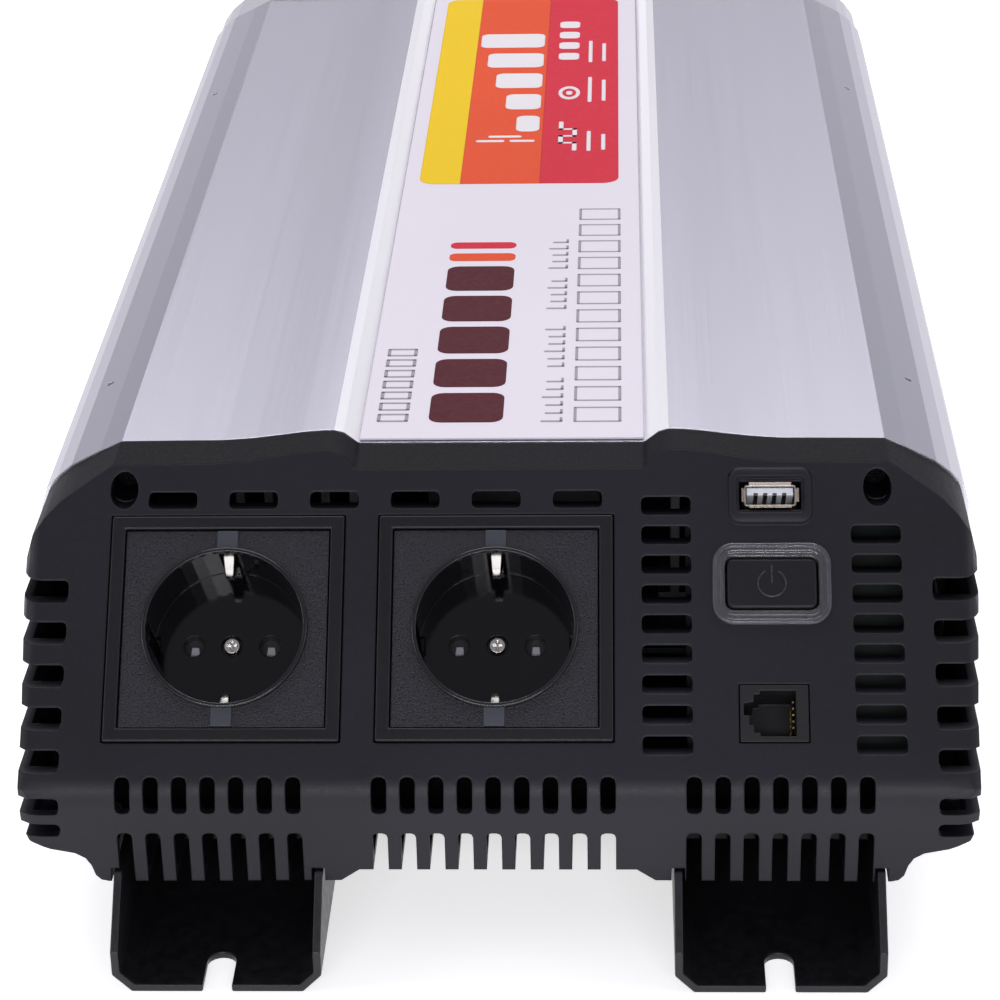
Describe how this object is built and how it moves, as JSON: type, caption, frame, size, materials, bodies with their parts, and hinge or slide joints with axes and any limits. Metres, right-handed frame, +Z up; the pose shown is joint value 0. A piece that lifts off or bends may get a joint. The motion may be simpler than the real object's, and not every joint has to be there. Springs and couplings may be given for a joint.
{
  "type": "power inverter",
  "caption": "DC to AC power inverter with an extruded aluminium housing, a sloped vented front with earthed sockets, USB port and button, rear fans and foot rails.",
  "frame": {"origin": "middle of the underside, on the surface the foot rails stand on", "axes": "+Z up, +Y from the sloped socket front to the rear fans, +X to the right when facing the front"},
  "size_m": [0.236, 0.513, 0.109],
  "materials": {
    "aluminium_shell": "anodised, brushed along its length",
    "label": "printed label, satin",
    "cap_plastic": "fine matte black",
    "rear_cap_plastic": "silver satin",
    "tray_steel": "black powder coat",
    "rail_metal": "black satin paint",
    "usb_metal": "bright tinned steel",
    "white_plastic": "white",
    "clear_bezel": "clear, polished",
    "button_plastic": "black satin",
    "inner_plastic": "matte black",
    "jack_plastic": "fine textured black",
    "gold_contacts": "gold plated",
    "circuit_board": "green solder mask",
    "heatsink_aluminium": "raw extruded",
    "ferrite": "dark grey ferrite",
    "winding": "red insulating tape over copper",
    "capacitor_sleeve": "dark blue sleeve",
    "fan_plastic": "matte black",
    "terminal_red": "red",
    "terminal_black": "black",
    "terminal_brass": "machined",
    "dark_screw": "black oxide",
    "bright_steel": "nickel plated",
    "socket_frame_plastic": "black satin",
    "socket_plastic": "glossy black cup, finely textured plate",
    "shutter_plastic": "light grey",
    "contact_brass": "pressed"
  },
  "bodies": {
    "housing": {"top_shell": "aluminium_shell", "label_plate": "label", "front_cap": "cap_plastic", "rear_cap": "rear_cap_plastic", "base_tray": "tray_steel", "left_foot_rail": "rail_metal", "right_foot_rail": "rail_metal", "usb_shell": "usb_metal", "usb_tongue": "white_plastic", "power_button_bezel": "clear_bezel", "power_switch_body": "inner_plastic", "remote_jack": "jack_plastic", "remote_jack_contacts": "gold_contacts", "front_board": "circuit_board", "main_board": "circuit_board", "left_heatsink": "heatsink_aluminium", "right_heatsink": "heatsink_aluminium", "front_transformer_core": "ferrite", "rear_transformer_core": "ferrite", "front_transformer_winding": "winding", "rear_transformer_winding": "winding", "bus_capacitor_1": "capacitor_sleeve", "bus_capacitor_2": "capacitor_sleeve", "bus_capacitor_3": "capacitor_sleeve", "left_fan_frame": "fan_plastic", "right_fan_frame": "fan_plastic", "positive_terminal_base": "terminal_red", "negative_terminal_base": "terminal_black", "positive_terminal_stud": "terminal_brass", "negative_terminal_stud": "terminal_brass", "ground_stud": "terminal_brass", "front_left_cap_screw": "dark_screw", "rear_left_cap_screw": "dark_screw", "left_foot_front_screw": "bright_steel", "left_foot_rear_screw": "bright_steel", "front_right_cap_screw": "dark_screw", "rear_right_cap_screw": "dark_screw", "right_foot_front_screw": "bright_steel", "right_foot_rear_screw": "bright_steel", "left_socket_frame": "socket_frame_plastic", "left_socket_insert": "socket_plastic", "left_socket_earth_clip": "bright_steel", "left_socket_screw": "bright_steel", "left_socket_contact_block": "inner_plastic", "left_socket_left_contact": "contact_brass", "left_socket_right_contact": "contact_brass", "centre_socket_frame": "socket_frame_plastic", "centre_socket_insert": "socket_plastic", "centre_socket_earth_clip": "bright_steel", "centre_socket_screw": "bright_steel", "centre_socket_contact_block": "inner_plastic", "centre_socket_left_contact": "contact_brass", "centre_socket_right_contact": "contact_brass"},
    "power_button": {"power_button": "button_plastic"},
    "left_shutter": {"left_socket_shutter": "shutter_plastic"},
    "centre_shutter": {"centre_socket_shutter": "shutter_plastic"},
    "left_rotor": {"left_fan_rotor": "fan_plastic"},
    "right_rotor": {"right_fan_rotor": "fan_plastic"},
    "positive_knob": {"positive_terminal_knob": "terminal_red"},
    "negative_knob": {"negative_terminal_knob": "terminal_black"}
  },
  "joints": [
    {"name": "power_button_travel", "type": "slide", "parent": "housing", "child": "power_button", "axis": [0, 0.7071, -0.7071], "range_m": [0, 0.002], "stiffness_N_per_m": 400, "springref_m": -0.001},
    {"name": "left_shutter_turn", "type": "hinge", "parent": "housing", "child": "left_shutter", "pos_m": [-0.0667, -0.19856, 0.06216], "axis": [0, 0.7071, -0.7071], "range_deg": [0, 35], "stiffness_Nm_per_rad": 0.01},
    {"name": "centre_shutter_turn", "type": "hinge", "parent": "housing", "child": "centre_shutter", "pos_m": [-0.0007, -0.19856, 0.06216], "axis": [0, 0.7071, -0.7071], "range_deg": [0, 35], "stiffness_Nm_per_rad": 0.01},
    {"name": "left_fan_spin", "type": "hinge", "parent": "housing", "child": "left_rotor", "pos_m": [-0.07, 0.2245, 0.0655], "axis": [0, 1, 0], "continuous": true},
    {"name": "right_fan_spin", "type": "hinge", "parent": "housing", "child": "right_rotor", "pos_m": [0.07, 0.2245, 0.0655], "axis": [0, 1, 0], "continuous": true},
    {"name": "positive_knob_turn", "type": "hinge", "parent": "housing", "child": "positive_knob", "pos_m": [0.021, 0.2495, 0.068], "axis": [0, 1, 0], "continuous": true},
    {"name": "negative_knob_turn", "type": "hinge", "parent": "housing", "child": "negative_knob", "pos_m": [-0.021, 0.2495, 0.068], "axis": [0, 1, 0], "continuous": true}
  ]
}
